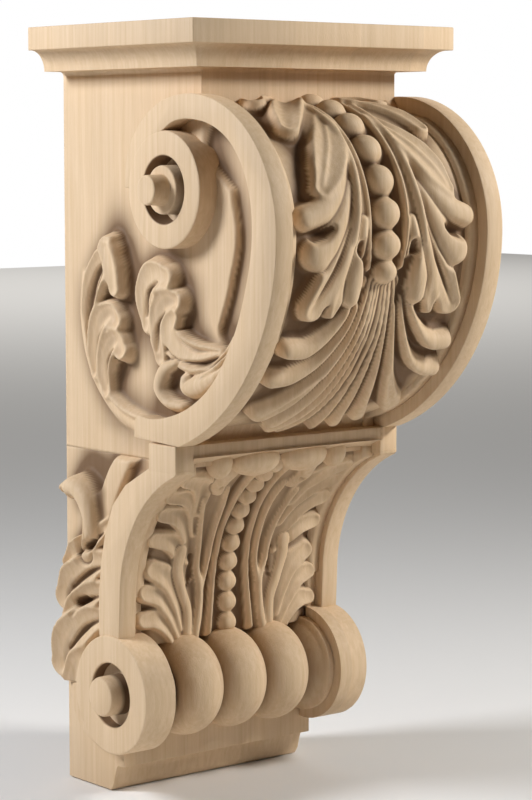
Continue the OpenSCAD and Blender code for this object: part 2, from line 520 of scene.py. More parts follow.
def even_rows(lows: Sequence[float], steps: Sequence[float]) -> np.ndarray:
    """Grid lines that are close together where the carving is.

    Args:
        lows: Limits of the bands.
        steps: Spacing in each band.

    Returns:
        The places of the lines.
    """
    out = []
    for i, step in enumerate(steps):
        n = max(1, int(round((lows[i + 1] - lows[i]) / step)))
        out.extend(np.linspace(lows[i], lows[i + 1], n, endpoint=False))
    out.append(lows[-1])
    return np.array(out)


# Finish.


def linear(code: str) -> tuple[float, float, float, float]:
    """Turn an sRGB hex code into linear values."""
    out = []
    for i in (0, 2, 4):
        c = int(code[i:i + 2], 16) / 255
        out.append(c / 12.92 if c <= 0.04045 else ((c + 0.055) / 1.055) ** 2.4)
    return (out[0], out[1], out[2], 1.0)


def add_node(tree: bpy.types.NodeTree, kind: str, inputs: dict[str | int, object] | None = None,
             **settings: object) -> bpy.types.Node:
    """Add a node.

    Args:
        tree: Where it goes.
        kind: Its type.
        inputs: For each input, a constant or the output it is linked to.
        settings: Its properties.

    Returns:
        The node.
    """
    node = tree.nodes.new(kind)
    for key, value in settings.items():
        setattr(node, key, value)
    for key, value in (inputs or {}).items():
        if isinstance(value, bpy.types.NodeSocket):
            tree.links.new(value, node.inputs[key])
        else:
            node.inputs[key].default_value = value
    return node


@dataclass(frozen=True)
class CarvedMaple:
    """Hard maple, band-sawn, carved with gouges and left bare.

    The eye sees a cream wood with fine upright streaks, glued staves that
    differ a little in tone and a faint fuzz of cut fibres. Deep cuts, the
    spindle's waists and the volutes' holes get painted shade: a warm dark
    brown mixed into the colour. Widths are across the grain, in millimetres.
    """

    pale: str = "E2C6A3"
    streak: str = "D3B48C"
    # Painted shade: the warm dark brown mixed into deep cuts, and its share where a cut is deepest.
    painted_shade: str = "5F4025"
    painted_shade_share: float = 0.85
    stave_mm: float = 38.0
    stave_change: float = 0.10
    figure_mm: float = 1000.0 / 38.0
    figure_change: float = 0.16
    streak_mm: float = 2.2
    pore_mm: float = 0.5
    fuzz: float = 0.28
    fuzz_mm: float = 0.4
    roughness: float = 0.62
    sheen: float = 0.25

    def build(self) -> bpy.types.Material:
        """Make the material.

        Returns:
            The finished material.
        """
        mat = bpy.data.materials.new("Hard maple, carved and unfinished")
        mat.use_nodes = True
        mat.node_tree.nodes.clear()
        add = partial(add_node, mat.node_tree)
        place = add("ShaderNodeTexCoord").outputs["Object"]

        def grain(width_mm: float, squash: float, **noise: float) -> bpy.types.NodeSocket:
            """Noise that is drawn out along Z, up the block."""
            drawn = add("ShaderNodeMapping", {"Vector": place, "Scale": (1.0, 1.0, squash)})
            inputs = {"Vector": drawn.outputs["Vector"], "Scale": 1.0 / (width_mm * MM), **noise}
            return add("ShaderNodeTexNoise", inputs).outputs["Fac"]

        def times_plus(value: bpy.types.NodeSocket, factor: float, more: float) -> bpy.types.NodeSocket:
            """Value times a factor, plus some more."""
            return add("ShaderNodeMath", {0: value, 1: factor, 2: more}, operation="MULTIPLY_ADD").outputs[0]

        # Fine streaks of a warmer tone.
        streaks = grain(self.streak_mm, 0.035, Detail=5.0, Roughness=0.62, Distortion=0.4)
        ramp = add("ShaderNodeMapRange", {"Value": streaks, "From Min": 0.32, "From Max": 0.78})
        mix = add("ShaderNodeMix", data_type="RGBA",
                  inputs={"Factor": ramp.outputs["Result"], "A": linear(self.pale), "B": linear(self.streak)})
        # Staves: one tone for each strip across.
        split = add("ShaderNodeSeparateXYZ", {"Vector": place})
        count = times_plus(split.outputs["X"], 1.0 / (self.stave_mm * MM), 0.5)
        whole = add("ShaderNodeMath", {0: count}, operation="FLOOR")
        stave = add("ShaderNodeTexWhiteNoise", {"W": whole.outputs[0]}, noise_dimensions="1D")
        shade = times_plus(stave.outputs["Value"], self.stave_change, 1.0 - self.stave_change / 2)
        # Broad figure that changes the tone a little.
        figure = grain(self.figure_mm, 0.12, Detail=3.0, Distortion=1.2)
        wave = times_plus(figure, self.figure_change, -self.figure_change / 2)
        both = add("ShaderNodeMath", {0: shade, 1: wave}, operation="ADD")
        toned = add("ShaderNodeVectorMath", {0: mix.outputs["Result"], "Scale": both.outputs[0]},
                    operation="SCALE")
        # Painted shade: where the recess attribute is high, the colour is mixed towards a warm dark brown,
        # standing in for the shade in deep cuts.
        recess_shade = add("ShaderNodeAttribute", attribute_name="recess_shade")
        share = times_plus(recess_shade.outputs["Fac"], self.painted_shade_share, 0.0)
        deep = add("ShaderNodeMix", data_type="RGBA",
                   inputs={"Factor": share, "A": toned.outputs["Vector"], "B": linear(self.painted_shade)})
        # Cut fibres: a fine fuzz, longer along the grain.
        fibres = grain(self.pore_mm, 0.22, Detail=3.0)
        bump = add("ShaderNodeBump",
                   {"Height": fibres, "Strength": self.fuzz, "Distance": self.fuzz_mm * MM})
        shader = add("ShaderNodeBsdfPrincipled",
                     {"Base Color": deep.outputs["Result"], "Roughness": self.roughness,
                      "Specular IOR Level": self.sheen, "Normal": bump.outputs["Normal"]})
        add("ShaderNodeOutputMaterial", {"Surface": shader.outputs["BSDF"]})
        return mat


@dataclass(frozen=True)
class PaleFloor:
    """Plain matt card, near white."""

    tone: str = "E4E1DC"

    def build(self) -> bpy.types.Material:
        """Make the material."""
        mat = bpy.data.materials.new("White card, matt")
        mat.use_nodes = True
        shader = mat.node_tree.nodes["Principled BSDF"]
        shader.inputs["Base Color"].default_value = linear(self.tone)
        shader.inputs["Roughness"].default_value = 0.9
        return mat


@dataclass
class Assembly:
    """A part of the bracket: builds its pieces and dresses them.

    Args:
        finish: The wood.
        pieces: What has been built.
    """

    finish: bpy.types.Material
    pieces: list[bpy.types.Object] = field(default_factory=list)

    def dress(self, obj: bpy.types.Object) -> bpy.types.Object:
        """Give a piece its finish and its place in the frame.

        Args:
            obj: The piece.

        Returns:
            The same piece.
        """
        obj.data.materials.clear()
        obj.data.materials.append(self.finish)
        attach(obj, BODY)
        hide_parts(NODE)
        self.pieces.append(obj)
        LOG.info("built %s", obj.name)
        return obj


# Cap, neck, shelf, base.


@dataclass
class Cap(Assembly):
    """Cap board, cove and the neck's small cove, as one moulding.

    Args:
        board: Thickness of the board.
        cove: Height of the cove under it.
        cove_foot: How far the foot of the cove lies inside the board's edge.
        cove_top: How far the top of the cove lies inside the board's edge.
        bead: Height and reach of the small cove on the neck.
        chamfer: How much the upright corners are eased.
    """

    board: float = 10.6
    cove: float = 9.6
    cove_foot: float = 8.8
    cove_top: float = 1.6
    bead: float = 2.0
    chamfer: float = 0.5

    def profile(self) -> list[Triple]:
        """Levels of the moulding.

        Returns:
            Half width, depth and height from the foot up.
        """
        top = 2 * HALF_HEIGHT
        foot = top - self.board - self.cove
        out = [(SLAB_HALF - 4, NECK_DEPTH - 4, foot - self.bead)]
        for i in range(7):
            a = math.radians(15 * i)
            reach = self.bead * (1 - math.cos(a))
            out.append((SLAB_HALF + reach, NECK_DEPTH + reach, foot - self.bead + self.bead * math.sin(a)))
        out.append((SLAB_HALF + self.bead, NECK_DEPTH + self.bead, foot))
        for i in range(13):
            a = math.radians(7.5 * i)
            inset = self.cove_foot - (self.cove_foot - self.cove_top) * (1 - math.cos(a))
            out.append((CAP_HALF - inset, CAP_DEPTH - inset, foot + self.cove * math.sin(a)))
        # The board, with its edges eased: inset from the side and fall from the top.
        for inset, fall in ((0.3, self.board), (0.0, 10.3), (0.0, 0.5), (0.15, 0.15), (0.5, 0.0)):
            out.append((CAP_HALF - inset, CAP_DEPTH - inset, top - fall))
        return out

    def build(self) -> None:
        """Build the moulding."""
        c = self.chamfer
        rows = []
        for half, depth, z in self.profile():
            corner = [(half - c, depth), (half - c * 0.3, depth - c * 0.3), (half, depth - c), (half, 0.0)]
            mirrored = [(-x, y) for x, y in reversed(corner)]
            pts = np.array(mirrored + corner + mirrored[:1])
            rows.append(at(pts[:, 0], pts[:, 1], z))
        obj = sheet("cap_moulding", np.array(rows))
        edit_all(partial(bpy.ops.mesh.remove_doubles, threshold=1e-6),
                 partial(bpy.ops.mesh.fill_holes, sides=0))
        finish_mesh(obj, SHARP_ANGLE)
        self.dress(obj)


@dataclass
class Body(Assembly):
    """Core of the block, the neck's front, the base, and the shelf with its eggs.

    Args:
        eggs: Place across and half width of each egg under the shelf.
        egg_depth: Distance of the eggs from the wall.
        egg_z: Height of their middles.
        egg_half: Half their height.
    """

    eggs: Points = ((-14.2, 13.8), (14.2, 13.8), (-34.0, 5.8), (34.0, 5.8))
    egg_depth: float = 88.0
    egg_z: float = 159.6
    egg_half: float = 8.2

    def build(self) -> None:
        """Build the plain parts and the eggs."""
        core = [(0, 48.02), (0, 334.6), (NECK_DEPTH - 2, 334.6), (NECK_DEPTH - 2, 312)]
        core += arc(ROLL_DEPTH, ROLL_Z, ROLL_TOP_R - 12, 75, 0, 12)
        core += arc(ROLL_LOW_DEPTH, ROLL_Z, ROLL_LOW_R - 12, -6, -72, 14)
        core += [(86, 160), (70, 150), (46, 110), (42, 80), (42, 48.02)]
        # Faces that would share a plane are kept a hair apart.
        neck = [(60, 314.5), (60, 335), (NECK_DEPTH, 335), (NECK_DEPTH, 314.5)]
        base = [(0, 0), (34.3, 0), (36.6, 3.4), (37.6, 7.5), (38.9, 11.2), (39.8, 12.4), (45.1, 12.9),
                (45.1, 48), (0, 48)]
        front, top = SHELF_DEPTH - 0.06, SHELF_TOP - 0.06
        ledge = [(60, 163.4), (front, 163.4), (front, top), (60, top)]
        face = [(60, 158.2), (90.5, 158.2), (90.5, 176), (60, 176)]
        for name, outline, half, bevel in (
                ("core", core, CHUNK_BACK + 0.5, 0.0), ("neck", neck, SLAB_HALF - 0.05, 0.0),
                ("base", base, SLAB_HALF, 0.5), ("shelf_ledge", ledge, 55.9, 0.5),
                ("shelf_face", face, 56.44, 0.0)):
            self.dress(block(name, outline, -half, half, bevel))
        end = [(78, SHELF_LOW), (SHELF_DEPTH, SHELF_LOW), (SHELF_DEPTH, SHELF_TOP), (78, SHELF_TOP)]
        for sign, side in SIDES:
            x0, x1 = sorted((sign * 55.5, sign * (SCROLL_HALF + 0.02)))
            self.dress(block("shelf_end_" + side, end, x0, x1, bevel=0.6))
        for i, (x, r) in enumerate(self.eggs):
            self.egg("egg_" + str(i + 1), x, r)

    def egg(self, name: str, x: float, r: float) -> None:
        """One egg hanging under the ledge.

        Args:
            name: Name of the piece.
            x: Its place across.
            r: Its radius across.
        """
        turn = np.linspace(0, 2 * math.pi, 41)
        lift = np.linspace(-math.pi / 2, math.pi / 2, 21)[:, None]
        across = x + r * np.cos(lift) * np.cos(turn)
        depth = self.egg_depth + (5.0 + 0.42 * r) * np.cos(lift) * np.sin(turn)
        obj = sheet(name, at(across, depth, self.egg_z + self.egg_half * np.sin(lift)))
        edit_all(WELD)
        finish_mesh(obj)
        self.dress(obj)


# Scroll bands, lower rims, volutes, spindle.


@dataclass
class Rims(Assembly):
    """Raised bands at both sides: the scroll above and the rim below."""

    def outer(self) -> list[Point]:
        """Outer edge of the scroll band, from its back end round to the shelf."""
        out = [(61, 283), (61.3, 290), (63, 297.5), (66.5, 304.8), (72, 311.3), (79.5, 317),
               (88, 321.4)]
        out += arc(ROLL_DEPTH, ROLL_Z, ROLL_TOP_R, 101, 0, 70)
        out += arc(ROLL_LOW_DEPTH, ROLL_Z, ROLL_LOW_R, -1, -71.6, 60)
        return out

    def inner(self) -> list[Point]:
        """Inner edge of the scroll band, from the shelf back up over the disc."""
        pts = [(67, 171), (69, 180.5), (80, 180.3), (90, 181.8), (100, 184.6), (109, 188.6),
               (118.5, 194.6), (127, 202.6), (135, 213.5), (142, 227), (147, 241),
               (150.4, 254), (151.6, 268), (149.6, 282), (143.8, 295), (134.6, 305),
               (122, 311.2), (108, 313.4), (98, 312.6), (91, 309.6), (84, 305), (76, 298),
               (70, 290), (66, 283)]
        smooth, _ = curve(pts, 1.6)
        return [(float(a), float(b)) for a, b in smooth]

    def throat(self) -> list[Point]:
        """Outline of the lower rim."""
        out = [(98.4, 158)]
        out += arc(HOLLOW_DEPTH, HOLLOW_Z, HOLLOW_R, 112, 180, 50)
        out += [(54.6, 80), (53.6, 66), (40, 66), (38.6, 80), (38.8, 95), (40.5, 110),
                (44, 124), (50, 138), (60, 148.5), (78, 158)]
        return out

    def build(self) -> None:
        """Build the bands on both sides."""
        band = self.outer() + self.inner()
        for sign, side in SIDES:
            x0, x1 = sorted((sign * 56.4, sign * SCROLL_HALF))
            self.dress(block("scroll_band_" + side, band, x0, x1, bevel=0.45))
            self.dress(block("lower_rim_" + side, self.throat(), x0, x1, bevel=0.45))


@dataclass
class Volutes(Assembly):
    """Four eyes: a disc with a deep hole and a stepped knob in it.

    Args:
        hole: Inner and outer radius of the ring that is given painted shade.
        lip: Distance from the middle at which the painted shade ends.
    """

    hole: tuple[float, float] = (6, 18)
    lip: float = 66.0

    def eye(self, name: str, depth: float, z: float, profile: Points, sign: int) -> None:
        """Turn one eye.

        Args:
            name: Name of the piece.
            depth: Distance of its axis from the wall.
            z: Height of its axis.
            profile: Places along the axis and radii, for the right-hand side.
            sign: -1 for the left, 1 for the right.
        """
        obj = turned(name, [(sign * x, r) for x, r in profile], depth, z)
        out = np.abs(places(obj)[:, 0]) / MM
        off = axis_distance(obj, depth, z)
        # Painted shade: the inside of the hole is coloured dark brown.
        paint_recess_shade(obj, (off < self.hole[1]) & (off > self.hole[0]) & (out < self.lip))
        self.dress(obj)

    def build(self) -> None:
        """Build the eyes and the second turns behind the lower ones."""
        upper = [(50, 0), (50, 26), (65.4, 26), (65.8, 25.85), (66.05, 25.5), (66.2, 25), (66.2, 15.6),
                 (65.9, 15.1), (52.2, 14.6), (51.8, 14.2), (51.8, 11.2), (52.4, 11), (66.4, 10.8),
                 (66.9, 10.6), (67.2, 10.2), (67.2, 7.2), (67.6, 6.9), (75.1, 6.6), (75.5, 6.4), (75.8, 5.9),
                 (75.8, 0)]
        lower = [(50, 0), (50, 27.7), (66.2, 27.7), (66.6, 27.55), (66.85, 27.2), (67, 26.7), (67, 15.6),
                 (66.7, 15.1), (65.6, 15), (50.6, 14.7), (50.4, 14.3), (50.4, 10), (50.9, 9.8),
                 (65, 9.4), (67.4, 9.3), (71.6, 9.2), (72.6, 8.7), (73.2, 7.6), (73.2, 0)]
        turn = [(50, 0), (50, 25.3), (60.2, 25.3), (60.7, 25.1), (61, 24.6), (61, 0)]
        for sign, side in SIDES:
            self.eye("upper_volute_" + side, EYE_DEPTH, EYE_Z, upper, sign)
            self.eye("lower_volute_" + side, FOOT_DEPTH, FOOT_Z, lower, sign)
            self.eye("second_turn_" + side, 33.0, 46.6, turn, sign)


@dataclass
class Spindle(Assembly):
    """Turned spindle between the lower volutes: three bulbs and two necks.

    Args:
        pitch: Distance between the middles of two bulbs.
        waist: Radius between the bulbs.
        belly: Radius of a bulb.
        lit: Share of a bulb's radius over which no painted shade is laid.
    """

    pitch: float = 26.0
    waist: float = 12.5
    belly: float = 24.2
    lit: float = 0.94

    def build(self) -> None:
        """Turn the spindle."""
        swell = self.belly - self.waist
        profile = []
        for middle in (-self.pitch, 0.0, self.pitch):
            for i in range(25):
                t = -math.cos(math.pi * i / 24)
                radius = self.waist + swell * math.sqrt(max(0, 1 - t * t))
                profile.append((middle + self.pitch / 2 * t, radius))
        end = [(39.3, 13.6), (40.8, 15.4), (42.6, 17.8), (44.6, 20), (45.8, 21), (46.2, 22.4),
               (46.8, 23), (49.2, 23), (49.8, 22.4), (50.2, 23.6), (51.2, 25.2), (52.6, 26.2),
               (55, 26.5), (58, 26.5), (58, 0)]
        left = [(-x, r) for x, r in reversed(end)]
        obj = turned("spindle", left + profile + end, FOOT_DEPTH, FOOT_Z, segments=144, angle=40)
        off = axis_distance(obj, FOOT_DEPTH, FOOT_Z)
        # Painted shade: the waists between the bulbs are coloured darker, most at the narrowest point.
        paint_recess_shade(obj, np.clip((self.lit * self.belly - off) / swell, 0.0, 1.0))
        self.dress(obj)


# Carved surfaces.


def lobe(spine: Points, width: Sequence[float], height: Sequence[float], crown: float = 0.2,
         tilt: float = 0.0, wall: float = 1.3) -> Stroke:
    """Hollowed leaf lobe laid over what is there."""
    return Stroke(spine, width, height, Section.SPOON, crown, tilt, wall)


def thumb(spine: Points, width: Sequence[float], height: Sequence[float], crown: float = 0.5,
          tilt: float = 0.0, wall: float = 1.2) -> Stroke:
    """Rounded lobe laid over what is there."""
    return Stroke(spine, width, height, Section.DOME, crown, tilt, wall)


def crest(spine: Points, width: Sequence[float], height: Sequence[float], crown: float = 0.5,
          wall: float = 1.2) -> Stroke:
    """Rib that rises out of what is there."""
    return Stroke(spine, width, height, Section.DOME, crown, 0.0, wall, Blend.HIGHEST)


def cut(spine: Points, width: Sequence[float], height: Sequence[float]) -> Stroke:
    """Groove or slot."""
    return Stroke(spine, width, height, Section.GROOVE)


# Leaves on one side of the beads of the roll, deepest first: distance from the
# middle, and way round from the neck.
ROLL_LEAVES: tuple[Stroke, ...] = (
    # Body of the leaf under everything.
    thumb([(13, -4), (17, 25), (20, 50), (22, 75), (24, 96), (25, 108)], [9, 11, 12, 12, 10, 6], [4, 5, 5,
        5, 4.6, 3], 0.4, wall=3),
    # Fan below, from the middle outwards: ribs that start together and end in spoons.
    crest([(0.9, 106), (1.6, 135), (2.6, 165), (5.4, 188), (10, 206)], [0.5, 0.9, 1.1, 1.7, 2.6], [3.2, 6,
        6.8, 6.8, 6.2], 0.6),
    crest([(2.4, 106), (4.4, 135), (7.4, 162), (12.2, 184), (19, 200)], [0.5, 1, 1.3, 2.2, 4], [3.2, 6.2,
        7.2, 7.4, 7], 0.55),
    crest([(4.2, 106), (7.4, 134), (12.8, 157), (18.6, 175), (25, 190)], [0.6, 1.1, 1.7, 2.7, 4.8], [3.4,
        6.4, 7.6, 8, 8], 0.5),
    thumb([(6.6, 107), (11.6, 132), (19.8, 153), (29.4, 169), (38.5, 180)], [0.7, 1.5, 2.6, 4.6, 6.2], [3.4,
        6.6, 7.8, 8.4, 8], 0.5, 0.12),
    cut([(20.4, 156), (30, 170.6), (38, 179)], [0.6, 1, 0.6], [1.6, 2.6, 1.2]),
    thumb([(9.4, 108), (16, 129), (26.6, 145.5), (38, 153.6), (47.4, 155.4)], [0.8, 1.6, 2.7, 4.2, 4.6],
        [3.6, 6.8, 8, 8.6, 8.2], 0.5, 0.16),
    thumb([(13, 110), (20, 124), (29, 134), (37.5, 139.2), (45.5, 139.4)], [1, 2, 3.2, 4.5, 4.6], [4, 7,
        8.2, 8.8, 8.4], 0.5, 0.16),
    cut([(41.6, 132.4), (46, 134)], [1.6, 1.8], [2, 3]),
    # Hanging lobes and tips of the upper leaf.
    lobe([(20, 74), (22, 95), (25.5, 110), (28.5, 123)], [3, 4.2, 5, 2.2], [6.6, 7.8, 8.4, 8], 0.18, -0.05),
    lobe([(22, 76), (28, 94), (34, 108), (39.5, 119.5)], [3, 4.2, 6, 6.4], [6.4, 7.4, 8.2, 8.2], 0.16,
        -0.1),
    cut([(22.5, 86), (28.5, 100), (34.5, 110), (41, 120)], [0.5, 1, 1.1, 0.7], [1.5, 3.2, 3.2, 1.5]),
    thumb([(21, 66), (27, 81), (34, 91), (40, 96.5)], [2.6, 4.4, 6.2, 7.6], [6.2, 7.2, 8, 8.4], 0.55),
    thumb([(18, 52), (24, 63), (31, 72), (38, 78), (46, 81)], [2.4, 4, 5.2, 5.8, 5.6], [6.2, 7.2, 8, 8.2,
        7.6], 0.5, 0.08),
    cut([(33, 85.6), (37, 88), (42, 90)], [1.3, 2.1, 1.6], [5, 7, 6]),
    cut([(32.2, 121), (32.8, 129)], [1.2, 2.6], [5, 7]),
    lobe([(14.5, 30), (19.5, 41), (26, 52), (32, 62), (37, 69)], [3.4, 6.6, 8.6, 7.4, 4], [6.4, 7.6, 8.6,
        8.8, 8.2], 0.26, 0.1),
    crest([(17, 36), (24, 48), (31, 59), (36, 68)], [0.8, 1.4, 1.4, 0.8], [6.6, 7.6, 7.8, 7.6]),
    thumb([(14, 82), (16.5, 97), (18.6, 108), (19, 116)], [2, 3.8, 5.2, 4.6], [6.6, 7.8, 8.8, 8.6], 0.55),
    cut([(15.5, 92.5), (16, 96)], [1.9, 2.3], [6]),
    cut([(15.8, 95), (13.4, 103), (11.6, 112), (10.8, 119)], [1.4, 1.3, 1.4, 1.4], [5]),
    # Long stems beside the beads.
    crest([(13.5, 12), (14.4, 40), (15.6, 60), (18.2, 78), (20.8, 92)], [1.8, 2.2, 2.5, 2.5, 1.6], [6.6,
        7.8, 8.2, 8.2, 7.6], 0.5),
    crest([(11, -2), (10.2, 20), (10.2, 45), (10.8, 68), (10.6, 90), (9.2, 104)], [1, 1.2, 1.3, 1.3, 1.1,
        1], [6, 7, 7.2, 7.2, 6.8, 6], 0.5),
    # Two lobes that spring from the neck: a small curl, then a long hook.
    lobe([(12, -10), (22, -5), (31, 1), (36, 9)], [4, 5, 5.6, 4.6], [7, 7.8, 8.4, 8.2], 0.4, 0.12),
    cut([(32, 6), (35, 8)], [1, 1.4], [2, 3]),
    lobe([(8, -4), (16, 7), (25, 17), (33, 27), (38, 36)], [5, 6.2, 7, 6.6, 5], [6.8, 8, 8.8, 8.8, 8.2],
        0.4, 0.12),
)

# Leaves on one side of the beads of the hollow, deepest first: distance from the
# middle, and way down from the shelf.
HOLLOW_LEAVES: tuple[Stroke, ...] = (
    thumb([(22, 20), (26, 45), (30, 70), (30, 100)], [10, 14, 16, 16], [2.2, 2.6, 2.8, 2.8], 0.5, wall=3),
    # Scallops at the lower outer corner, lowest first.
    lobe([(30, 112), (36, 103), (43, 98), (50, 98)], [3, 4, 4.4, 3.6], [5, 5.6, 5.8, 5], 0.3, 0.15),
    lobe([(28, 108), (33, 97), (40, 88), (49, 85)], [3, 4.4, 5, 4.2], [5, 5.8, 6, 5.4], 0.32, 0.15),
    lobe([(27, 102), (30.5, 90), (37, 79), (46, 74)], [3, 4.4, 5.2, 4.4], [5, 5.8, 6.2, 5.6], 0.32, 0.15),
    # Lobes over them.
    lobe([(25, 80), (30, 68), (38, 60), (48, 58)], [3, 4.6, 5, 4], [4.6, 5.8, 6.2, 5.6], 0.35, 0.15),
    lobe([(25, 70), (29, 56), (37, 46), (48, 43)], [3, 4.8, 5.4, 4.2], [4.6, 5.8, 6.4, 5.8], 0.4, 0.2),
    lobe([(25, 56), (30, 42), (38, 33), (49, 31)], [2.6, 4.4, 5, 4], [4.6, 5.8, 6.4, 5.8], 0.4, 0.2),
    lobe([(27, 44), (31, 31), (38, 21), (47, 18)], [2.6, 4.8, 5.6, 4.4], [4.6, 5.8, 6.6, 6], 0.4, 0.15),
    # Hooked fingers and stems.
    thumb([(31, 66), (31.5, 75), (28.5, 86), (25, 96), (25, 110)], [3.6, 3.4, 3, 2.8, 2.6], [6.4, 6.2, 6,
        5.6, 5], 0.5),
    cut([(23.5, 70), (23, 77), (24.5, 84)], [1.6, 2, 1], [2.5, 3, 2]),
    crest([(28, 36), (24, 50), (21.4, 63), (20.6, 75), (18, 86), (18.6, 98), (21, 112)], [1.4, 1.6, 1.7,
        1.9, 2.2, 2.4, 2.4], [5.6, 6.2, 6.4, 6.4, 6.2, 6, 5.6], 0.5),
    crest([(17, 30), (14.6, 42), (14.2, 60), (14.6, 74), (17, 86)], [1.4, 1.4, 1.5, 1.5, 1.4], [5.4, 6.2,
        6.4, 6.2, 6], 0.5),
    crest([(8.8, 10), (8.8, 50), (10, 80), (12.6, 108)], [0.9, 0.9, 1.1, 1.4], [6.2], 0.3),
    thumb([(24, 16), (25, 24), (22, 31)], [4.6, 5, 3.4], [5.8, 6.4, 5.6], 0.6),
    cut([(24, 25)], [1.6], [3]),
)


@dataclass
class BeadedPanel(Assembly):
    """Curved panel with leaves on both sides of a row of beads.

    Args:
        beads: Place along the panel, half width and half length of each bead.
        rise: Height of a bead over the ground.
        trough: Half width, end and height of the trough the beads lie in.
        limit: Greatest height of the carving.
        eased: How many times the edges are eased.
        ground: How far the ground lies under the panel's outline.
        step: Spacing of the grid.
    """

    beads: Sequence[Triple] = ()
    rise: float = 0.0
    trough: Triple = (0.0, 0.0, 0.0)
    limit: float = 0.0
    eased: int = 0
    ground: float = 0.0
    step: float = 0.55

    def carved(self, rows: np.ndarray, strokes: Sequence[Stroke]) -> tuple[np.ndarray, Relief, np.ndarray]:
        """Carve the leaves and the beads.

        Args:
            rows: Places of the grid lines along the panel.
            strokes: Leaves on one side; the other side mirrors them.

        Returns:
            Place across of every grid point, the relief, and how much shade is painted on each point.
        """
        across = np.linspace(-PANEL_HALF, PANEL_HALF, int(2 * PANEL_HALF / self.step) + 1)
        u, v = np.meshgrid(across, rows)
        relief = Relief(np.abs(u), v, np.zeros_like(u))
        for stroke in strokes:
            relief.carve(stroke)
        half, end, floor = self.trough
        beside = (relief.u < half) & (v < end)
        relief.height = np.where(beside, np.minimum(relief.height, floor), relief.height)
        for place, width, length in self.beads:
            relief.bead(place, width, length, self.rise)
        return u, relief, relief.finish(-0.5, self.limit, self.eased)

    def lay(self, name: str, pts: np.ndarray, recess_shade: np.ndarray, ring: np.ndarray, back: float) -> None:
        """Turn carved points into a closed piece.

        Args:
            name: Name of the piece.
            pts: Places of the grid points.
            recess_shade: How much shade is painted on each of them, 0 to 1.
            ring: Where the outline goes before it runs back.
            back: Distance of the piece's back from the wall.
        """
        obj = sheet(name, pts)
        # Painted shade: the sunken parts of the carving are coloured darker.
        paint_recess_shade(obj, recess_shade)
        close_behind(obj, 1, -back * MM, ring.reshape(-1, 3))
        finish_mesh(obj)
        self.dress(obj)


@dataclass
class RollPanel(BeadedPanel):
    """Leaf and bead carving round the front of the roll."""

    beads: Sequence[Triple] = (
        (-9, 8, 7.3), (4.5, 8, 7.4), (18.5, 8, 7.7), (33, 8, 7.9), (48.5, 8, 8.3),
        (64.5, 8, 8.2), (79.6, 8, 7.9), (93.6, 8, 7.3), (105.2, 6.8, 5.9))
    rise: float = 8.8
    trough: Triple = (9, 108, 3.2)
    limit: float = 8.9
    eased: int = 4
    ground: float = 8.0

    def build(self) -> None:
        """Carve the panel, which follows the roll's two arcs."""
        # Where the arcs meet, and how far the panel runs for each radian of them.
        turn, pace, low_pace = 88.4, 56.3, 95.5
        rows = even_rows((-2.2, turn, 216.0), (self.step, self.step))
        u, relief, recess_shade = self.carved(rows, ROLL_LEAVES)
        v = relief.v
        angle = np.where(v < turn, math.pi / 2 - v / pace, -(v - turn) / low_pace)
        middle = np.where(v < turn, ROLL_DEPTH, ROLL_LOW_DEPTH)
        ground = np.where(v < turn, ROLL_TOP_R, ROLL_LOW_R) - self.ground
        front = ground + relief.height
        behind = ground - PANEL_SKIN
        pts = at(u, middle + front * np.cos(angle), ROLL_Z + front * np.sin(angle))
        ring = at(np.clip(u, -PANEL_BACK, PANEL_BACK), middle + behind * np.cos(angle),
                  ROLL_Z + behind * np.sin(angle))
        self.lay("roll_panel", relax(pts, 4), recess_shade, ring, 60)


@dataclass
class HollowPanel(BeadedPanel):
    """Leaf and bead carving in the hollow under the shelf."""

    beads: Sequence[Triple] = (
        (12.5, 5.4, 5), (21.4, 5.4, 4.9), (30, 5.4, 4.8), (38.6, 5.4, 4.8), (47.4, 5.4, 4.9),
        (56.4, 5.4, 5), (65.6, 5.4, 5.1), (75, 5.4, 5.2), (84.7, 5.4, 5.3), (94.6, 5.4, 5.4),
        (104.6, 5.4, 5.4))
    rise: float = 6.4
    trough: Triple = (7.2, math.inf, 1.6)
    limit: float = 6.8
    eased: int = 2
    ground: float = 6.5

    def build(self) -> None:
        """Carve the panel, which follows the throat and then runs straight down."""
        # Where the arc starts, and how far the panel runs for each radian of it.
        first, pace = math.radians(110), 70.8
        u, relief, recess_shade = self.carved(even_rows((-3, 110), (self.step,)), HOLLOW_LEAVES)
        angle = first + relief.v / pace
        radius = HOLLOW_R + self.ground - relief.height
        straight = angle > math.pi
        depth = HOLLOW_DEPTH + np.where(straight, -radius, radius * np.cos(angle))
        z = HOLLOW_Z + np.where(straight, -(angle - math.pi) * pace, radius * np.sin(angle))
        ring = at(np.clip(u, -PANEL_BACK, PANEL_BACK), depth - PANEL_SKIN - relief.height, z)
        self.lay("hollow_panel", relax(at(u, depth, z), 3), recess_shade, ring, 30)


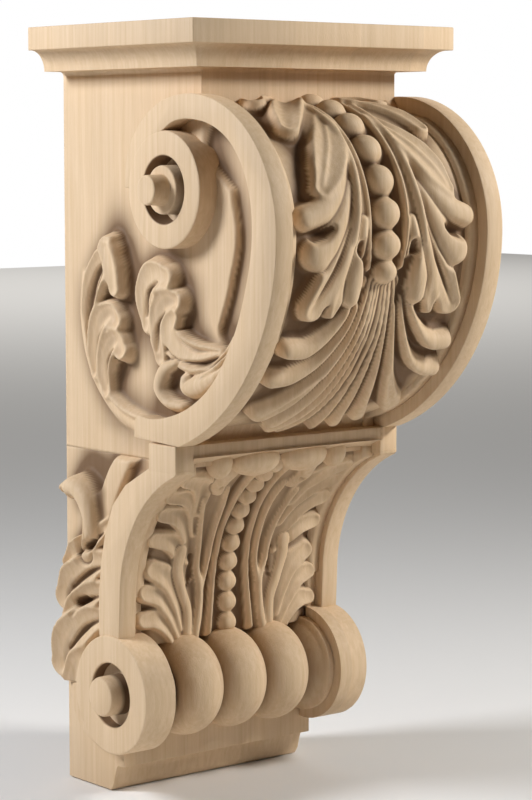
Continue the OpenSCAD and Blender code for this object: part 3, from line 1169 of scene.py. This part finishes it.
# Leaves inside the scroll, deepest first: distance from the wall, and height over
# the underside.
SCROLL_LEAVES: tuple[Stroke, ...] = (
    # Channel between the scroll band and the eye, then its tongue.
    Stroke([(136, 282), (141, 262), (135, 240), (124, 222)], [9, 11, 10, 6], [-6, -6, -6, -5.4],
        Section.DOME, 0.0),
    Stroke([(118, 303), (132, 292)], [10], [-6], Section.DOME, 0),
    # Outer sweeps at the back.
    crest([(17, 242), (17.5, 225), (22, 208), (31, 193), (45, 181), (60, 175), (77, 171)], [2, 3, 3.6, 4, 4,
        3, 1.4], [1, 2.6, 3.4, 3.6, 3.6, 3, 2], 0.6, wall=2.5),
    crest([(24, 224), (25, 208), (34, 195), (48, 184), (64, 179), (80, 177.5)], [1.4, 1.6, 1.8, 1.8, 1.6,
        1], [5, 6, 6.4, 6, 5, 2.4], 0.5, wall=2),
    # Leaf by the wall: three hooked lobes, outermost first.
    lobe([(26, 212), (27, 226), (32, 239), (40, 249), (45, 254)], [3.4, 6, 8, 7.6, 4], [5, 7.4, 8.6, 9,
        8.4], 0.45, -0.12, 2.8),
    lobe([(43, 256), (47.5, 246), (49, 237)], [4.4, 4.8, 3.6], [9.2, 9, 8.2], 0.15, 0, 2.8),
    lobe([(42, 259.5), (46, 259.5)], [1.6, 1.4], [8.8, 8.6], 0.1, 0, 1.2),
    cut([(24, 222), (27, 233), (33, 243), (40, 249)], [0.8, 1.6, 1.8, 1], [1.5, 2.6, 2.6, 1.4]),
    lobe([(30, 198), (31, 210), (35, 220), (43, 225), (48, 222)], [3, 5.4, 6.6, 6, 4.6], [5.4, 7, 8.2, 8.6,
        8], 0.45, -0.12, 2.8),
    lobe([(39, 190), (38.5, 200), (42, 209), (48, 213), (52, 209)], [3.4, 5.2, 6.2, 5.6, 4], [5.4, 6.8, 7.8,
        8.2, 7.4], 0.45, -0.1, 2.8),
    # Leaf beside it.
    lobe([(70, 222), (70, 234), (76, 243), (86, 243)], [4, 7.2, 8, 5.4], [5, 7, 8.4, 8.2], 0.4, -0.1, 2.8),
    cut([(69, 226), (72, 236), (79, 241)], [1, 1.8, 1.2], [1.5, 2.6, 1.6]),
    lobe([(80, 208), (79, 221), (84, 231), (93, 233)], [4, 6.4, 7, 5], [5.4, 7.2, 8.4, 8], 0.45, -0.1, 2.8),
    lobe([(122, 213), (108, 212), (96, 214), (89, 220), (92, 226)], [1.4, 4, 6, 6.4, 4], [4.6, 6, 7.2, 7.6,
        7.4], 0.3, -0.1, 1.4),
    crest([(152, 253), (147, 238), (138, 223), (126, 210), (112, 204), (96, 205), (86, 210)], [1.2, 1.8,
        2.2, 2.4, 2.4, 2, 1.4], [8.8, 8.6, 8.2, 7.6, 7, 6.4, 5], 0.5, wall=1.8),
    # Curl between the leaves.
    thumb([(92, 206), (84, 202), (81, 194), (87, 188), (97, 187)], [2, 3.6, 3.6, 3, 2.4], [6, 7.6, 8, 7.4,
        6], 0.5, wall=1.6),
    thumb([(147, 236), (136, 217), (122, 203), (108, 197), (101, 196), (100, 199)], [1.4, 3, 4.4, 5, 4.4,
        3.4], [8.6, 8.4, 8.2, 8, 7.8, 7.4], 0.5, wall=1.8),
    # Veins that follow each lobe to its tip.
    cut([(22.5, 204), (24.5, 218), (29, 231), (37, 243)], [0.6, 1.2, 1.4, 0.8], [1.2, 2.4, 2.4, 1.2]),
    cut([(31, 201), (33, 212), (39, 219)], [0.6, 1.2, 0.8], [1.2, 2.4, 1.4]),
    cut([(39, 193), (40, 203), (45, 209)], [0.6, 1.2, 0.8], [1.2, 2.2, 1.2]),
    cut([(77, 210), (78, 221), (85, 228)], [0.6, 1.3, 0.8], [1.2, 2.4, 1.4]),
    cut([(73, 216), (73, 228), (78, 236)], [0.6, 1.2, 0.8], [1.2, 2, 1.2]),
    cut([(150, 245), (143, 229), (131, 214), (116, 206.5), (100, 207)], [0.5, 1.1, 1.3, 1.1, 0.6], [1.2,
        2.2, 2.4, 2.2, 1.2]),
    cut([(118, 213), (106, 212.5), (97, 216), (93, 221)], [0.5, 1.1, 1.2, 0.7], [1.2, 2.2, 2.2, 1.2]),
    cut([(141, 225), (128, 208), (114, 201)], [0.5, 1.1, 0.7], [1.2, 2.2, 1.2]),
)

# C-curve and small leaf near the wall, in the same coordinates.
WALL_LEAVES: tuple[Stroke, ...] = (
    Stroke([(57, 166), (46, 152), (38, 138), (34, 127)], [5, 6, 6, 4], [4.6, 5, 5, 4], Section.DOME, 0.2, 0,
        1.4),
    lobe([(40, 128), (30, 120), (20, 112), (12, 106)], [2, 5, 7, 5], [5, 9, 10, 8], 0.3, -0.15),
    lobe([(42, 112), (30, 108), (18, 99), (11, 90)], [3, 7, 9, 8], [5, 9, 11, 9], 0.35, -0.15),
    lobe([(40, 98), (30, 94), (20, 86), (14, 78)], [3, 6, 7, 6], [6, 9.5, 10.5, 9], 0.35, -0.15),
    lobe([(38, 84), (26, 80), (14, 70), (9, 58)], [4, 8, 10, 8], [6, 10, 12, 10], 0.35, -0.15),
    lobe([(30, 66), (18, 60), (12, 50)], [3, 6, 5], [6, 9, 8], 0.3, -0.1),
    thumb([(24, 112), (29, 126), (27.5, 138), (20, 143.5), (13, 141)], [4.6, 5, 5.6, 5.4, 5], [8, 11, 13,
        13.6, 13.4], 0.5, wall=1.6),
    cut([(12.4, 139)], [3.1], [11]),
    cut([(26, 115.5), (30, 117.5)], [2.4, 2.2], [7, 6]),
    cut([(20, 88.5), (24, 90)], [2.6, 2.2], [7, 6]),
    cut([(36, 123), (26, 116), (16, 108.5)], [0.6, 1.4, 0.9], [1.4, 3, 1.8]),
    cut([(37, 107.5), (26, 103), (14, 94.5)], [0.6, 1.5, 1], [1.4, 3.2, 2]),
    cut([(36, 93.5), (26, 90), (17, 82.5)], [0.6, 1.3, 0.9], [1.4, 2.8, 1.8]),
    cut([(34, 82), (23, 76), (12, 65)], [0.6, 1.6, 1], [1.4, 3.2, 2]),
    cut([(26, 118), (27, 128), (24, 136)], [0.6, 1.3, 0.8], [1.4, 2.6, 1.6]),
)


@dataclass
class SideFaces(Assembly):
    """Side faces of the slab with the leaves carved on them.

    Args:
        step: Spacing of the grid.
    """

    step: float = 0.6

    @staticmethod
    def upper_edge(z: np.ndarray) -> np.ndarray:
        """How far forward the upper face reaches at a height."""
        low_r, high_r = ROLL_LOW_R - 6.0, ROLL_TOP_R - 6.0
        low = ROLL_LOW_DEPTH + np.sqrt(np.clip(low_r**2 - (z - ROLL_Z) ** 2, 0, None))
        high = ROLL_DEPTH + np.sqrt(np.clip(high_r**2 - (z - ROLL_Z) ** 2, 0, None))
        out = np.where(z < ROLL_Z, np.maximum(low, 92.0), high)
        return np.where(z > ROLL_Z + high_r, NECK_DEPTH - 0.05, out)

    @staticmethod
    def lower_edge(z: np.ndarray) -> np.ndarray:
        """How far forward the lower face reaches at a height."""
        hollow = HOLLOW_DEPTH - np.sqrt(np.clip(HOLLOW_R**2 - (z - HOLLOW_Z) ** 2, 0, None)) - 3
        return np.where(z < HOLLOW_Z, 50.0, np.clip(hollow, 50.0, 92.0))

    def face(self, name: str, rows: np.ndarray, reach: np.ndarray, strokes: Sequence[Stroke],
             sign: int) -> None:
        """Carve one stretch of one side.

        Args:
            name: Name of the piece.
            rows: Heights of the grid lines.
            reach: How far forward the face reaches at each of them.
            strokes: What is carved on it.
            sign: -1 for the left, 1 for the right.
        """
        cols = int(float(reach.max()) / self.step) + 1
        share = np.linspace(0.0, 1.0, cols)
        depth = 0.05 + share[None, :] * (reach[:, None] - 0.05)
        z = np.repeat(rows[:, None], cols, axis=1)
        relief = Relief(depth, z, np.zeros_like(depth))
        for stroke in strokes:
            relief.carve(stroke)
        recess_shade = relief.finish(-4.0, 15.0, 1)
        # The top and bottom edges stay flat against their neighbours.
        relief.height[[0, -1], :] = 0
        pts = at(sign * (SLAB_HALF + relief.height), depth, z)
        flat = (np.abs(relief.height) < 0.02)[..., None]
        obj = sheet(name, np.where(flat, pts, relax(pts, 2)))
        # Painted shade: the sunken parts of the carving are coloured darker.
        paint_recess_shade(obj, recess_shade)
        close_behind(obj, 0, sign * CHUNK_BACK * MM)
        finish_mesh(obj)
        self.dress(obj)

    def build(self) -> None:
        """Carve both sides."""
        high = even_rows((160.0, 168.0, 262.0, 314.0, 335.4), (1.2, self.step, 1.0, 4.0))
        low = even_rows((48.0, 150.0, 168.0), (self.step, 1.0))
        low = low[low < 160.01]
        for sign, side in SIDES:
            self.face("side_leaves_" + side, high, self.upper_edge(high), SCROLL_LEAVES, sign)
            self.face("side_curls_" + side, low, self.lower_edge(low), WALL_LEAVES, sign)


# Stage.


@dataclass(frozen=True)
class Softbox:
    """One soft lamp.

    Args:
        name: Its name.
        place: Where it is, in metres.
        size: Its width in metres.
        watts: Its power.
        tone: Its colour.
        down: Whether it faces straight down.
    """

    name: str
    place: Triple
    size: float
    watts: float
    tone: Triple = (1.0, 1.0, 1.0)
    down: bool = False

    def build(self) -> None:
        """Place the lamp, turned to the bracket or straight down."""
        data = bpy.data.lights.new(self.name, "AREA")
        data.size = self.size
        data.energy = self.watts
        data.color = self.tone
        obj = bpy.data.objects.new(self.name, data)
        bpy.context.scene.collection.objects.link(obj)
        obj.location = self.place
        if not self.down:
            x, y, z = np.array(LAMP_AIM) - self.place
            obj.rotation_euler = (math.atan2(z, math.hypot(x, y)) + math.pi / 2, 0.0,
                                  math.atan2(y, x) - math.pi / 2)


def stage() -> None:
    """Floor, lamps, surroundings and camera."""
    clear()
    bpy.context.scene.view_settings.view_transform = "Standard"
    bpy.ops.mesh.primitive_plane_add(size=8.0, location=(0.0, 0.0, -HALF_HEIGHT * MM - 0.0005))
    floor = named("floor")
    floor.data.materials.append(PaleFloor().build())
    Softbox("left", (-0.72, 0.3, 0.5), 0.3, 8.6, (0.96, 1.0, 1.08)).build()
    Softbox("right", (0.56, -0.62, 0.48), 0.2, 6.6).build()
    Softbox("low", (1.5, -1.1, 0.3), 0.4, 1.4).build()
    # A wide lamp over the card behind, so that it stays pale.
    Softbox("backdrop", (2.3, 3.2, 1.9), 2.8, 60.0, down=True).build()
    world = bpy.data.worlds.new("studio")
    bpy.context.scene.world = world
    world.use_nodes = True
    tree = world.node_tree
    back = tree.nodes["Background"]
    back.inputs["Color"].default_value = (1.0, 0.985, 0.96, 1.0)
    back.inputs["Strength"].default_value = 0.05
    # The paper behind reads white while it lights the wood only a little.
    paper = add_node(tree, "ShaderNodeBackground", {"Color": (1.0, 1.0, 1.0, 1.0), "Strength": 1.0})
    seen = add_node(tree, "ShaderNodeLightPath").outputs["Is Camera Ray"]
    pick = add_node(tree, "ShaderNodeMixShader", {0: seen, 1: back.outputs[0], 2: paper.outputs[0]})
    tree.links.new(pick.outputs[0], tree.nodes["World Output"].inputs["Surface"])
    data = bpy.data.cameras.new("camera")
    data.lens = 110.96
    data.sensor_width = 36.0
    camera = bpy.data.objects.new("camera", data)
    bpy.context.scene.collection.objects.link(camera)
    camera.location = (-0.7182, -0.9595, 0.1263)
    camera.rotation_euler = (math.radians(90 - 6.02), 0.0, math.radians(-39.25))
    bpy.context.scene.camera = camera


def main() -> None:
    """Build the bracket, then the stage."""
    logging.basicConfig(level=logging.INFO, format="%(message)s")
    wood = CarvedMaple().build()
    for part in (Cap, Body, Rims, Volutes, Spindle, RollPanel, HollowPanel, SideFaces):
        part(wood).build()
    clear()
    stage()


if __name__ == "__main__":
    main()
